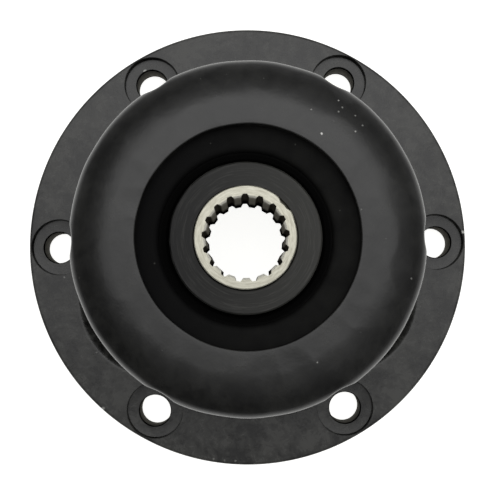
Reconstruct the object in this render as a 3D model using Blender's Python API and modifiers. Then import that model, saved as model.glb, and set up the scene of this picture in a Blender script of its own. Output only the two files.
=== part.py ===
"""Engine drive coupler: a black-painted casting, a bonded rubber ring, a steel hub and its splined sleeve.

The coupler's axis is Z. The flange's back face lies on Z = 0 with its centre at the origin, and the
bowl rises from the flange along +Z. Lengths are in metres, and the first bolt hole lies near +X.
"""

import math

import bmesh
import bpy

MM = 0.001

# Flange and its bolt holes
BOLT_COUNT = 6
BOLT_CIRCLE_DIAMETER = 142.4 * MM
BOLT_PATTERN_TURN = math.radians(0.8)
BOLT_HOLE_DIAMETER = 12.0 * MM
BOLT_HOLE_CHAMFER = 0.3 * MM
SPOT_FACE_DIAMETER = 21.2 * MM
SPOT_FACE_DEPTH = 3.2 * MM
SPOT_FACE_LAND = 0.7 * MM
FLANGE_THICKNESS = 13.5 * MM
FLANGE_EDGE_ROUND = 0.8 * MM

# Bowl: the socket clearance round each bolt bites this far into the rim
SOCKET_CLEARANCE_DIAMETER = 25.4 * MM
SOCKET_BITE = 1.1 * MM
SOCKET_FLOOR_LIFT = 0.3 * MM
BOWL_HEIGHT = 46.9 * MM
BOWL_DRAFT = math.radians(1.5)
BOWL_WALL = 6.0 * MM
BOWL_ROOT_FILLET = 5.0 * MM
DOME_WIDTH = 15.0 * MM
DOME_DROP = 6.0 * MM
DOME_EDGE_ROUND = 3.6 * MM
MOUTH_DIAMETER = 74.6 * MM
MOUTH_EDGE_ROUND = 0.4 * MM
LIP_THICKNESS = 5.0 * MM
CAVITY_CORNER_ROUND = 5.0 * MM
CAVITY_MOUTH_CHAMFER = 1.2 * MM

# Cast pockets in the flange beside the bowl, between every other pair of bolts. The first is turned
# this far from the first bolt.
POCKET_COUNT = 3
POCKET_TURN = math.radians(90.0)
POCKET_SPAN = math.radians(31.0)
POCKET_WIDTH = 8.0 * MM
POCKET_DEPTH = 2.5 * MM
POCKET_DRAFT = math.radians(30.0)
POCKET_CORNER_ROUND = 7.0 * MM
POCKET_STEP = 0.6 * MM

# Hub
HUB_DIAMETER = 50.6 * MM
HUB_LENGTH = 30.0 * MM
HUB_FACE_SETBACK = 2.6 * MM
HUB_EDGE_CHAMFER = 0.5 * MM
HUB_COLLAR_LENGTH = 9.0 * MM
HUB_FLARE = 5.0 * MM
HUB_REAR_ROUND = 3.0 * MM

# Splined sleeve: an involute spline, whose module is a sixteenth of an inch. A broach's corner is
# rounded, so its tip is narrower than the groove that the flanks alone would leave.
SPLINE_TEETH = 17
SPLINE_MODULE = 1.5875 * MM
SPLINE_PRESSURE_ANGLE = math.radians(30.0)
SPLINE_TURN = math.radians(6.2)
SPLINE_TIP_SHARE = 0.8
SPLINE_LEAD_WIDTH = 1.0 * MM
SPLINE_LEAD_DEPTH = 1.6 * MM
SPLINE_EXIT_CHAMFER = 0.8 * MM
SLEEVE_WALL = 2.7 * MM
SLEEVE_FRONT_STAND = 3.0 * MM
SLEEVE_REAR_STAND = 1.0 * MM
SLEEVE_EDGE_CHAMFER = 0.4 * MM

# Rubber ring
RUBBER_LENGTH = 30.0 * MM
RUBBER_REAR_SETBACK = 2.5 * MM
RUBBER_REAR_HOLLOW = 4.0 * MM
RUBBER_HUB_STEP = 5.0 * MM
RUBBER_RIDGE_OFFSET = 2.4 * MM
RUBBER_RIDGE_HEIGHT = 1.2 * MM
RUBBER_CREASE_OFFSET = 3.6 * MM
RUBBER_CREASE_DEPTH = 2.0 * MM
RUBBER_SHOULDER = 2.8 * MM

# Gaps that pieces in contact keep in the mesh
BOND_GAP = 0.3 * MM
PRESS_GAP = 0.3 * MM

# Facets: steps round a turn or along an arc, and where the points of a curve lie on it
HOUSING_STEPS = 84
RUBBER_STEPS = 60
HUB_STEPS = 60
CUTTER_STEPS = 32
SLEEVE_STEPS_PER_TOOTH = 4
EDGE_STEPS = 3
CORNER_STEPS = 4
FILLET_STEPS = 5
DOME_STEPS = 4
DOME_EDGE_STEPS = 5
POCKET_ARC_STEPS = 8
POCKET_CORNER_STEPS = 6
RUBBER_REAR_STEPS = 6
SHOULDER_ANGLES = (25, 50, 72, 90)
FLANK_SHARES = (0.0, 0.35, 0.7, 0.92)
SHARP_ANGLE = math.radians(28.0)
MERGE_DISTANCE = 0.00001
CUTTER_MARGIN = 2.0 * MM

# Places worked out from the sizes above
BOLT_RADIUS = BOLT_CIRCLE_DIAMETER / 2
FLANGE_RADIUS = BOLT_RADIUS + SPOT_FACE_DIAMETER / 2 + SPOT_FACE_LAND
RIM_RADIUS = BOLT_RADIUS - SOCKET_CLEARANCE_DIAMETER / 2 + SOCKET_BITE
MOUTH_RADIUS = MOUTH_DIAMETER / 2
HUB_RADIUS = HUB_DIAMETER / 2
SPLINE_PITCH_RADIUS = SPLINE_MODULE * SPLINE_TEETH / 2
SPLINE_ROOT_RADIUS = SPLINE_MODULE * (SPLINE_TEETH + 1) / 2
SPLINE_LAND_RADIUS = SPLINE_MODULE * (SPLINE_TEETH - 1) / 2
SLEEVE_RADIUS = SPLINE_ROOT_RADIUS + SLEEVE_WALL
HUB_BORE_RADIUS = SLEEVE_RADIUS + PRESS_GAP
CREST_Z = FLANGE_THICKNESS + BOWL_HEIGHT
RIM_Z = CREST_Z - DOME_DROP
LIP_Z = CREST_Z - LIP_THICKNESS
HUB_FACE_Z = CREST_Z - HUB_FACE_SETBACK
HUB_REAR_Z = HUB_FACE_Z - HUB_LENGTH
SLEEVE_FACE_Z = HUB_FACE_Z + SLEEVE_FRONT_STAND
SLEEVE_REAR_Z = HUB_REAR_Z - SLEEVE_REAR_STAND


def arc(centre, radius, start, end, count):
    """Points (r, z) on an arc from start to end, both in degrees, count segments long."""
    points = []
    for i in range(count + 1):
        angle = math.radians(start + (end - start) * i / count)
        points.append((centre[0] + radius * math.cos(angle), centre[1] + radius * math.sin(angle)))
    return points


def offset_path(points, distance):
    """An open path moved sideways by distance, to the right of its run, with mitred corners."""
    moved = []
    for i, point in enumerate(points):
        sides = []
        for a, b in ((i - 1, i), (i, i + 1)):
            if a < 0 or b >= len(points):
                continue
            run = (points[b][0] - points[a][0], points[b][1] - points[a][1])
            length = math.hypot(*run)
            sides.append((run[1] / length, -run[0] / length))
        normal = [sum(side[k] for side in sides) for k in range(2)]
        size = math.hypot(*normal)
        normal = [part / size for part in normal]
        mitre = normal[0] * sides[0][0] + normal[1] * sides[0][1]
        moved.append(tuple(point[k] + normal[k] * distance / mitre for k in range(2)))
    return moved


def wall_radius(z):
    """Outer radius of the bowl's drafted wall at height z."""
    return RIM_RADIUS + (RIM_Z - z) * math.tan(BOWL_DRAFT)


def make_collection(name):
    """A new collection in the scene."""
    collection = bpy.data.collections.new(name)
    bpy.context.scene.collection.children.link(collection)
    return collection


def make_material(name, colour, roughness, metallic):
    """A Principled material of one colour, given as linear red, green and blue."""
    material = bpy.data.materials.new(name)
    material.use_nodes = True
    shader = material.node_tree.nodes["Principled BSDF"]
    shader.inputs["Base Color"].default_value = (*colour, 1.0)
    shader.inputs["Roughness"].default_value = roughness
    shader.inputs["Metallic"].default_value = metallic
    material.diffuse_color = (*colour, 1.0)
    return material


def turned(name, profile, steps, collection, closed=True):
    """A body of revolution: the profile, in (r, z), carried round Z by a Screw modifier."""
    mesh = bpy.data.meshes.new(name)
    edges = [(i, i + 1) for i in range(len(profile) - 1)]
    if closed:
        edges.append((len(profile) - 1, 0))
    mesh.from_pydata([(r, 0.0, z) for r, z in profile], edges, [])
    body = bpy.data.objects.new(name, mesh)
    collection.objects.link(body)
    screw = body.modifiers.new("Turn", "SCREW")
    screw.axis = "Z"
    screw.angle = math.tau
    screw.steps = steps
    screw.render_steps = steps
    screw.use_merge_vertices = True
    screw.merge_threshold = MERGE_DISTANCE
    return body


def as_cutter(body):
    """Keeps a cutter out of renders and out of the model."""
    body.hide_render = True
    body.display_type = "WIRE"
    return body


def cut(body, cutter):
    """Takes the cutter's shape out of the body."""
    boolean = body.modifiers.new(cutter.name, "BOOLEAN")
    boolean.operation = "DIFFERENCE"
    boolean.solver = "EXACT"
    boolean.object = cutter


def finish(body, material):
    """Applies the body's modifiers, shades it smooth up to its sharp edges and gives it its material."""
    graph = bpy.context.evaluated_depsgraph_get()
    mesh = bpy.data.meshes.new_from_object(body.evaluated_get(graph))
    mesh.name = body.name
    body.modifiers.clear()
    body.data = mesh
    mesh.shade_smooth()
    mesh.set_sharp_from_angle(angle=SHARP_ANGLE)
    mesh.materials.clear()
    mesh.materials.append(material)


def cavity_path():
    """The bowl's inner surface, from under the lip at the mouth, round the corner and down the wall."""
    top = wall_radius(LIP_Z) - BOWL_WALL
    corner = (top - CAVITY_CORNER_ROUND, LIP_Z - CAVITY_CORNER_ROUND)
    bottom = wall_radius(0.0) - BOWL_WALL
    path = [(MOUTH_RADIUS, LIP_Z)]
    path += arc(corner, CAVITY_CORNER_ROUND, 90.0, math.degrees(BOWL_DRAFT), CORNER_STEPS)
    path.append((bottom, 0.0))
    return path


def dome_path():
    """The bowl's face from the flat crest out: a wide arc, then a tight one tangent to it down to the rim."""
    flat_end = RIM_RADIUS - DOME_WIDTH
    run = DOME_WIDTH - DOME_EDGE_ROUND
    slope = 2 * math.atan2(DOME_DROP - DOME_EDGE_ROUND, run)
    wide = DOME_EDGE_ROUND + run / math.sin(slope)
    turn = 90.0 - math.degrees(slope)
    path = arc((flat_end, CREST_Z - wide), wide, 90.0, turn, DOME_STEPS)
    path += arc((RIM_RADIUS - DOME_EDGE_ROUND, RIM_Z), DOME_EDGE_ROUND, turn, 0.0, DOME_EDGE_STEPS)[1:]
    return path


def housing_profile():
    """The casting's section, clockwise from the mouth's upper edge."""
    edge = (MOUTH_RADIUS + MOUTH_EDGE_ROUND, CREST_Z - MOUTH_EDGE_ROUND)
    root_radius = wall_radius(FLANGE_THICKNESS + BOWL_ROOT_FILLET)
    root = (root_radius + BOWL_ROOT_FILLET, FLANGE_THICKNESS + BOWL_ROOT_FILLET)
    front = (FLANGE_RADIUS - FLANGE_EDGE_ROUND, FLANGE_THICKNESS - FLANGE_EDGE_ROUND)
    back = (FLANGE_RADIUS - FLANGE_EDGE_ROUND, FLANGE_EDGE_ROUND)
    cavity = cavity_path()
    cavity_end = cavity.pop()
    profile = arc(edge, MOUTH_EDGE_ROUND, 180.0, 90.0, EDGE_STEPS)
    profile += dome_path()
    profile += arc(root, BOWL_ROOT_FILLET, 180.0, 270.0, FILLET_STEPS)
    profile += arc(front, FLANGE_EDGE_ROUND, 90.0, 0.0, EDGE_STEPS)
    profile += arc(back, FLANGE_EDGE_ROUND, 0.0, -90.0, EDGE_STEPS)
    profile.append((cavity_end[0] + CAVITY_MOUTH_CHAMFER, 0.0))
    profile.append((cavity_end[0], CAVITY_MOUTH_CHAMFER))
    profile += reversed(cavity)
    return profile


def bolt_cutter_profile():
    """Bolt hole, spot face and socket clearance as one stepped tool, from its top down to its tip."""
    hole = BOLT_HOLE_DIAMETER / 2
    spot = SPOT_FACE_DIAMETER / 2
    socket = SOCKET_CLEARANCE_DIAMETER / 2
    top = CREST_Z + CUTTER_MARGIN
    socket_floor = FLANGE_THICKNESS + SOCKET_FLOOR_LIFT
    spot_floor = FLANGE_THICKNESS - SPOT_FACE_DEPTH
    return [
        (0.0, top),
        (socket, top),
        (socket, socket_floor),
        (spot, socket_floor),
        (spot, spot_floor),
        (hole + BOLT_HOLE_CHAMFER, spot_floor),
        (hole, spot_floor - BOLT_HOLE_CHAMFER),
        (hole, -CUTTER_MARGIN),
        (0.0, -CUTTER_MARGIN),
    ]


def pocket_outline(shrink):
    """The pocket's kidney outline about +X, all round but the bowl side drawn in by shrink."""
    inner = wall_radius(FLANGE_THICKNESS) + POCKET_STEP
    outer = inner + POCKET_WIDTH - shrink
    corner = min(POCKET_CORNER_ROUND, POCKET_WIDTH - POCKET_STEP) - shrink
    half = POCKET_SPAN / 2 - shrink / inner
    reach = outer - corner
    turn = half - math.asin(corner / reach)
    far = (reach * math.cos(turn), reach * math.sin(turn))
    near = (far[0], -far[1])
    half = math.degrees(half)
    turn = math.degrees(turn)
    points = arc((0.0, 0.0), inner, -half, half, POCKET_ARC_STEPS)
    points += arc(far, corner, half + 90.0, turn, POCKET_CORNER_STEPS)
    points += arc((0.0, 0.0), outer, turn, -turn, POCKET_ARC_STEPS)[1:-1]
    points += arc(near, corner, -turn, -half - 90.0, POCKET_CORNER_STEPS)
    return points


def make_pocket_cutter(index, collection):
    """A drafted kidney-shaped tool, lofted between its outline at the floor and above the root fillet."""
    name = f"pocket_cutter_{index + 1}"
    floor = FLANGE_THICKNESS - POCKET_DEPTH
    top = FLANGE_THICKNESS + BOWL_ROOT_FILLET + CUTTER_MARGIN
    mesh = bpy.data.meshes.new(name)
    shape = bmesh.new()
    rings = []
    for z, shrink in ((floor, POCKET_DEPTH * math.tan(POCKET_DRAFT)), (FLANGE_THICKNESS, 0.0), (top, 0.0)):
        corners = [shape.verts.new((x, y, z)) for x, y in pocket_outline(shrink)]
        rings.append([shape.edges.new((a, b)) for a, b in zip(corners, corners[1:] + corners[:1])])
        if z != FLANGE_THICKNESS:
            shape.faces.new(corners)
    for lower, upper in zip(rings, rings[1:]):
        bmesh.ops.bridge_loops(shape, edges=lower + upper)
    bmesh.ops.recalc_face_normals(shape, faces=shape.faces)
    shape.to_mesh(mesh)
    shape.free()
    cutter = bpy.data.objects.new(name, mesh)
    cutter.rotation_euler.z = BOLT_PATTERN_TURN + POCKET_TURN + math.tau * index / POCKET_COUNT
    collection.objects.link(cutter)
    return as_cutter(cutter)


def make_housing(parts, cutters, material):
    """The casting: flange, bowl and lip turned in one, then six stepped holes and three pockets."""
    housing = turned("housing", housing_profile(), HOUSING_STEPS, parts)
    for i in range(BOLT_COUNT):
        angle = BOLT_PATTERN_TURN + math.tau * i / BOLT_COUNT
        cutter = turned(f"bolt_cutter_{i + 1}", bolt_cutter_profile(), CUTTER_STEPS, cutters, closed=False)
        cutter.location = (BOLT_RADIUS * math.cos(angle), BOLT_RADIUS * math.sin(angle), 0.0)
        cutter.rotation_euler.z = angle
        cut(housing, as_cutter(cutter))
    for i in range(POCKET_COUNT):
        cut(housing, make_pocket_cutter(i, cutters))
    finish(housing, material)


def hub_flank():
    """The hub's outer side from its face down to its rear face: collar, cone, flared body and round."""
    collar_end = HUB_FACE_Z - HUB_COLLAR_LENGTH
    flare_radius = HUB_RADIUS + HUB_FLARE
    corner = (flare_radius - HUB_REAR_ROUND, HUB_REAR_Z + HUB_REAR_ROUND)
    path = [(HUB_RADIUS, HUB_FACE_Z - HUB_EDGE_CHAMFER), (HUB_RADIUS, collar_end)]
    path.append((flare_radius, collar_end - HUB_FLARE))
    path += arc(corner, HUB_REAR_ROUND, 0.0, -90.0, CORNER_STEPS)
    return path


def make_hub(parts, material):
    """The steel hub: a plain collar in front, flared inside the rubber, bored for the sleeve."""
    profile = [(HUB_BORE_RADIUS, HUB_FACE_Z), (HUB_RADIUS - HUB_EDGE_CHAMFER, HUB_FACE_Z)]
    profile += hub_flank()
    profile.append((HUB_BORE_RADIUS, HUB_REAR_Z))
    finish(turned("hub", profile, HUB_STEPS, parts), material)


def rubber_front():
    """The rubber's face from the hub outwards: a low ridge, a crease, then a rounded shoulder."""
    face = LIP_Z - BOND_GAP
    crease = (HUB_RADIUS + RUBBER_CREASE_OFFSET, face - RUBBER_CREASE_DEPTH)
    ridge = (HUB_RADIUS + RUBBER_RIDGE_OFFSET, crease[1] + RUBBER_RIDGE_HEIGHT / 2)
    foot = (HUB_RADIUS + BOND_GAP, HUB_FACE_Z - RUBBER_HUB_STEP)
    slope = ((foot[0] + ridge[0]) / 2, ridge[1] - RUBBER_RIDGE_HEIGHT / 4)
    path = [foot, slope, ridge, crease]
    for degrees in SHOULDER_ANGLES:
        angle = math.radians(degrees)
        r = crease[0] + RUBBER_SHOULDER * (1 - math.cos(angle))
        path.append((r, crease[1] + RUBBER_CREASE_DEPTH * math.sin(angle)))
    return path


def rubber_flank():
    """The rubber's inner side, up from its rear edge, a bond gap clear of the hub's collar and flare."""
    side = offset_path(hub_flank(), -BOND_GAP)
    lowest = HUB_REAR_Z + RUBBER_REAR_SETBACK
    kept = [point for point in side[1:] if point[1] > lowest]
    below = side[len(kept) + 1]
    share = (kept[-1][1] - lowest) / (kept[-1][1] - below[1])
    edge = (kept[-1][0] + (below[0] - kept[-1][0]) * share, lowest)
    return [edge] + kept[::-1]


def make_rubber(parts, material):
    """The moulded rubber ring between bowl and hub, with its free faces in front and behind."""
    outer = offset_path(cavity_path(), BOND_GAP)
    wall_top, wall_foot = outer[-2], outer[-1]
    rear = LIP_Z - RUBBER_LENGTH
    share = (wall_top[1] - rear) / (wall_top[1] - wall_foot[1])
    rear_outer = (wall_top[0] + (wall_foot[0] - wall_top[0]) * share, rear)
    flank = rubber_flank()
    rear_inner = flank[0]
    profile = rubber_front() + outer[1:-1] + [rear_outer]
    for i in range(1, RUBBER_REAR_STEPS):
        t = i / RUBBER_REAR_STEPS
        r = rear_outer[0] + (rear_inner[0] - rear_outer[0]) * t
        z = rear_outer[1] + (rear_inner[1] - rear_outer[1]) * t
        profile.append((r, z + RUBBER_REAR_HOLLOW * 4 * t * (1 - t)))
    profile += flank
    finish(turned("rubber_element", profile, RUBBER_STEPS, parts), material)


def involute_half_angle(radius):
    """Half the angle that a spline groove spans at a radius, by the involute of its base circle."""
    base = SPLINE_PITCH_RADIUS * math.cos(SPLINE_PRESSURE_ANGLE)
    pressure = math.acos(base / radius)
    start = math.tan(SPLINE_PRESSURE_ANGLE) - SPLINE_PRESSURE_ANGLE
    return math.pi / (2 * SPLINE_TEETH) + start - (math.tan(pressure) - pressure)


def broach_outline():
    """The broach's section: a tooth with involute flanks for each groove, joined below the lands."""
    core = SPLINE_LAND_RADIUS - SPLINE_MODULE / 4
    tip = involute_half_angle(SPLINE_ROOT_RADIUS) * SPLINE_TIP_SHARE
    points = []
    for tooth in range(SPLINE_TEETH):
        middle = SPLINE_TURN + math.tau * tooth / SPLINE_TEETH
        flank = []
        for share in FLANK_SHARES:
            radius = core + (SPLINE_ROOT_RADIUS - core) * share
            flank.append((radius, involute_half_angle(radius)))
        sides = [(r, -a) for r, a in flank] + [(SPLINE_ROOT_RADIUS, -tip)]
        sides += [(r, -a) for r, a in reversed(sides)]
        for radius, angle in sides:
            x = radius * math.cos(middle + angle)
            points.append((x, radius * math.sin(middle + angle)))
    return points


def make_broach(collection):
    """The broach as a solid: its outline as a filled 2D curve, extruded, welded into one mesh."""
    outline = broach_outline()
    length = SLEEVE_FACE_Z - SLEEVE_REAR_Z + 2 * CUTTER_MARGIN
    curve = bpy.data.curves.new("spline_broach", "CURVE")
    curve.dimensions = "2D"
    curve.fill_mode = "BOTH"
    curve.extrude = length / 2
    spline = curve.splines.new("POLY")
    spline.points.add(len(outline) - 1)
    for point, (x, y) in zip(spline.points, outline):
        point.co = (x, y, 0.0, 1.0)
    spline.use_cyclic_u = True
    drawn = bpy.data.objects.new("spline_broach_curve", curve)
    drawn.location.z = (SLEEVE_FACE_Z + SLEEVE_REAR_Z) / 2
    collection.objects.link(drawn)
    graph = bpy.context.evaluated_depsgraph_get()
    mesh = bpy.data.meshes.new_from_object(drawn.evaluated_get(graph))
    shape = bmesh.new()
    shape.from_mesh(mesh)
    bmesh.ops.remove_doubles(shape, verts=shape.verts, dist=MERGE_DISTANCE)
    bmesh.ops.recalc_face_normals(shape, faces=shape.faces)
    shape.to_mesh(mesh)
    shape.free()
    broach = bpy.data.objects.new("spline_broach", mesh)
    broach.matrix_world = drawn.matrix_world
    collection.objects.link(broach)
    bpy.data.objects.remove(drawn)
    return as_cutter(broach)


def make_sleeve(parts, cutters, material):
    """The bare steel sleeve: turned with a lead-in and an exit chamfer, then broached."""
    lead = SPLINE_LAND_RADIUS + SPLINE_LEAD_WIDTH
    profile = [
        (lead, SLEEVE_FACE_Z),
        (SLEEVE_RADIUS - SLEEVE_EDGE_CHAMFER, SLEEVE_FACE_Z),
        (SLEEVE_RADIUS, SLEEVE_FACE_Z - SLEEVE_EDGE_CHAMFER),
        (SLEEVE_RADIUS, SLEEVE_REAR_Z + SLEEVE_EDGE_CHAMFER),
        (SLEEVE_RADIUS - SLEEVE_EDGE_CHAMFER, SLEEVE_REAR_Z),
        (SPLINE_LAND_RADIUS + SPLINE_EXIT_CHAMFER, SLEEVE_REAR_Z),
        (SPLINE_LAND_RADIUS, SLEEVE_REAR_Z + SPLINE_EXIT_CHAMFER),
        (SPLINE_LAND_RADIUS, SLEEVE_FACE_Z - SPLINE_LEAD_DEPTH),
    ]
    sleeve = turned("spline_sleeve", profile, SPLINE_TEETH * SLEEVE_STEPS_PER_TOOTH, parts)
    cut(sleeve, make_broach(cutters))
    finish(sleeve, material)


def main():
    """Clears the scene and builds the coupler."""
    for stale in list(bpy.data.objects):
        bpy.data.objects.remove(stale)
    parts = make_collection("engine_drive_coupler")
    cutters = make_collection("cutters")
    make_housing(parts, cutters, make_material("black_paint", (0.055, 0.056, 0.052), 0.42, 0.0))
    make_rubber(parts, make_material("black_rubber", (0.008, 0.008, 0.009), 0.65, 0.0))
    make_hub(parts, make_material("dark_steel", (0.042, 0.042, 0.041), 0.45, 0.6))
    make_sleeve(parts, cutters, make_material("bare_steel", (0.60, 0.58, 0.51), 0.35, 1.0))


main()
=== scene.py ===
"""Engine drive coupler, dressed for its render.

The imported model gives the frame: a black-painted casting, a bonded rubber ring, a dark steel hub and a
bare steel splined sleeve. Each of them is worked out again here as a fine surface with numpy, inside
the box of its solid, and gets the finish of the real piece. Lengths are in metres, the coupler's axis
is Z, and its flange lies on Z = 0.
"""

import logging
import math
from dataclasses import dataclass
from enum import Enum

import bpy
import numpy as np
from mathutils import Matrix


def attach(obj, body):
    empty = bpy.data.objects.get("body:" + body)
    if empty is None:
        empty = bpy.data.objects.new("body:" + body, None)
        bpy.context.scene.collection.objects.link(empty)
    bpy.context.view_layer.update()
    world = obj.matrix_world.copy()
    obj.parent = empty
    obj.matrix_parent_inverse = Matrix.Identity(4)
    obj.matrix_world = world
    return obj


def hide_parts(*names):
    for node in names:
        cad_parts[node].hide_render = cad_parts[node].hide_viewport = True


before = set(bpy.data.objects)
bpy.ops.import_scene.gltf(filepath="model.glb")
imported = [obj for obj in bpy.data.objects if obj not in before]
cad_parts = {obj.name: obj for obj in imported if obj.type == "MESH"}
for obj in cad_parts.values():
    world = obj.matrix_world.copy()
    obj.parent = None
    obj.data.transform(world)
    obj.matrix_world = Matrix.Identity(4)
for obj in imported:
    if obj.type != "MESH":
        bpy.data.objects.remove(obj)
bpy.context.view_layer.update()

MM = 0.001
TURN = 2.0 * math.pi
LOG = logging.getLogger("coupler")
# The hub and its sleeve sit this far off the bowl's axis, as they do in the photograph
HUB_CENTRE = (-0.80 * MM, -0.33 * MM, 0.0)
# An edge that turns by more degrees than this stays sharp
SHARP_ANGLE = 28.0
# Places closer together than this count as one
TOUCH = 0.001 * MM
# A cutter runs this far past what it cuts
OVERRUN = 2.0 * MM


class Node(Enum):
    """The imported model's nodes."""

    HOUSING = "housing"
    RUBBER = "rubber_element"
    HUB = "hub"
    SLEEVE = "spline_sleeve"


class Slot(Enum):
    """The record's material slots."""

    CASTING = "painted_casting"
    RUBBER = "bonded_rubber"
    HUB = "dark_steel"
    SLEEVE = "bare_steel"


def linear(colour: str) -> tuple[float, float, float, float]:
    """Turns an sRGB hex colour to linear light.

    Args:
        colour: six hex digits after a hash sign.

    Returns:
        Red, green and blue from 0 to 1, and an alpha of 1.
    """
    parts = [int(colour[i : i + 2], 16) / 255.0 for i in (1, 3, 5)]
    red, green, blue = (p / 12.92 if p <= 0.04045 else ((p + 0.055) / 1.055) ** 2.4 for p in parts)
    return red, green, blue, 1.0


def add_node(
    tree: bpy.types.NodeTree, kind: str, inputs: dict, output: int | str = 0, **settings: object
) -> bpy.types.NodeSocket | None:
    """Adds a node with its settings and links.

    Args:
        tree: the node tree that the node goes in.
        kind: the node's type, without the word ShaderNode before it.
        inputs: a value, or an output socket to link, for each input by its name or number.
        output: which of its outputs to hand back.
        settings: the node's own properties.

    Returns:
        The output's socket, or nothing from a node that has none.
    """
    node = tree.nodes.new("ShaderNode" + kind)
    for name, value in settings.items():
        setattr(node, name, value)
    for name, value in inputs.items():
        if isinstance(value, bpy.types.NodeSocket):
            tree.links.new(value, node.inputs[name])
        else:
            node.inputs[name].default_value = value
    return node.outputs[output] if node.outputs else None


def new_tree(name: str) -> tuple[bpy.types.Material, bpy.types.NodeTree]:
    """Makes an empty material.

    Args:
        name: the material's name.

    Returns:
        The material and its cleared node tree.
    """
    material = bpy.data.materials.new(name)
    material.use_nodes = True
    material.node_tree.nodes.clear()
    return material, material.node_tree


def from_axis(
    tree: bpy.types.NodeTree, place: bpy.types.NodeSocket
) -> tuple[bpy.types.NodeSocket, bpy.types.NodeSocket]:
    """The way from the Z axis straight out to a place, and its length.

    Args:
        tree: the material's node tree.
        place: the place on the object.

    Returns:
        (x, y, 0) and the square root of x^2 + y^2.
    """
    flat = add_node(tree, "VectorMath", {0: place, 1: (1.0, 1.0, 0.0)}, operation="MULTIPLY")
    return flat, add_node(tree, "VectorMath", {0: flat}, "Value", operation="LENGTH")


def drawn_round(
    tree: bpy.types.NodeTree, place: bpy.types.NodeSocket, across: float, along: float
) -> tuple[bpy.types.NodeSocket, bpy.types.NodeSocket]:
    """Coordinates that draw a noise out into arcs round an axis: (k cos a, k sin a, r / across).

    Args:
        tree: the material's node tree.
        place: the place on the object, from the axis.
        across: the width of an arc.
        along: k, which makes the arcs shorter as it grows.

    Returns:
        The drawn-out coordinates and the distance r from the axis.
    """
    flat, radius = from_axis(tree, place)
    way = add_node(tree, "VectorMath", {0: flat}, operation="NORMALIZE")
    way = add_node(tree, "VectorMath", {0: way, "Scale": along}, operation="SCALE")
    step = add_node(tree, "CombineXYZ", {"Z": radius})
    step = add_node(tree, "VectorMath", {0: step, "Scale": 1.0 / across}, operation="SCALE")
    return add_node(tree, "VectorMath", {0: way, 1: step}, operation="ADD"), radius


def marked(
    tree: bpy.types.NodeTree,
    place: bpy.types.NodeSocket,
    marks: tuple[tuple[float, ...], ...],
    ragged: float,
) -> bpy.types.NodeSocket:
    """A mask of single small marks with ragged outlines: each one's strength within its radius.

    Args:
        tree: the material's node tree.
        place: the place on the object.
        marks: X, Y, Z and radius of each mark in millimetres, and its strength.
        ragged: how far their outlines stray.

    Returns:
        The greatest strength of the marks that reach each place.
    """
    inputs = {"Vector": place, "Scale": 1.0 / (3.0 * ragged), "Detail": 2.0}
    stray = add_node(tree, "TexNoise", inputs, "Color")
    inputs = {0: stray, 1: (2.0 * ragged,) * 3, 2: place}
    near = add_node(tree, "VectorMath", inputs, operation="MULTIPLY_ADD")
    mask = 0.0
    for x, y, z, radius, strength in marks:
        middle = tuple(value * MM + ragged for value in (x, y, z))
        gap = add_node(tree, "VectorMath", {0: near, 1: middle}, "Value", operation="DISTANCE")
        inputs = {"Value": gap, "From Min": radius * MM, "From Max": 0.5 * radius * MM, "To Max": strength}
        inputs = {0: mask, 1: add_node(tree, "MapRange", inputs)}
        mask = add_node(tree, "Math", inputs, operation="MAXIMUM")
    return mask


def arc(centre: tuple[float, float], radius: float, start: float, end: float, count: int) -> np.ndarray:
    """Points on a circular arc: the centre plus the radius times (cos a, sin a).

    Args:
        centre: the arc's centre.
        radius: the arc's radius.
        start: the first angle in degrees.
        end: the last angle in degrees.
        count: the number of steps along the arc.

    Returns:
        An array of count + 1 points.
    """
    angle = np.radians(np.linspace(start, end, count + 1))
    return np.column_stack((centre[0] + radius * np.cos(angle), centre[1] + radius * np.sin(angle)))


def line(start: tuple[float, float], end: tuple[float, float], count: int) -> np.ndarray:
    """Points evenly along a straight line.

    Args:
        start: the first point.
        end: the last point.
        count: the number of steps along the line.

    Returns:
        An array of count + 1 points.
    """
    share = np.linspace(0.0, 1.0, count + 1)[:, None]
    return np.asarray(start) * (1.0 - share) + np.asarray(end) * share


def joined(*runs: np.ndarray) -> np.ndarray:
    """Joins runs of points into one path and drops a point that repeats the one before it.

    Args:
        runs: arrays of points.

    Returns:
        The whole path.
    """
    points = np.vstack(runs)
    keep = np.ones(len(points), dtype=bool)
    keep[1:] = np.hypot(*np.diff(points, axis=0).T) > TOUCH
    return points[keep]


def turned(path: np.ndarray, steps: int) -> np.ndarray:
    """A surface of revolution: (r cos a, r sin a, z) for each point (r, z) of a path.

    Args:
        path: points of radius and height.
        steps: the number of steps round the axis.

    Returns:
        A grid of points, by place on the path, then by step round the axis.
    """
    angle = np.arange(steps) * (TURN / steps)
    r, z = path[:, :1], path[:, 1:]
    return np.stack((r * np.cos(angle), r * np.sin(angle), z + 0.0 * angle), axis=-1)


def spun(points: np.ndarray, angle: float) -> np.ndarray:
    """Points turned about the Z axis.

    Args:
        points: an array of places.
        angle: how far to turn them.

    Returns:
        (x cos a - y sin a, x sin a + y cos a, z) for each place.
    """
    cosine, sine = math.cos(angle), math.sin(angle)
    return points @ np.array(((cosine, sine, 0.0), (-sine, cosine, 0.0), (0.0, 0.0, 1.0)))


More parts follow.
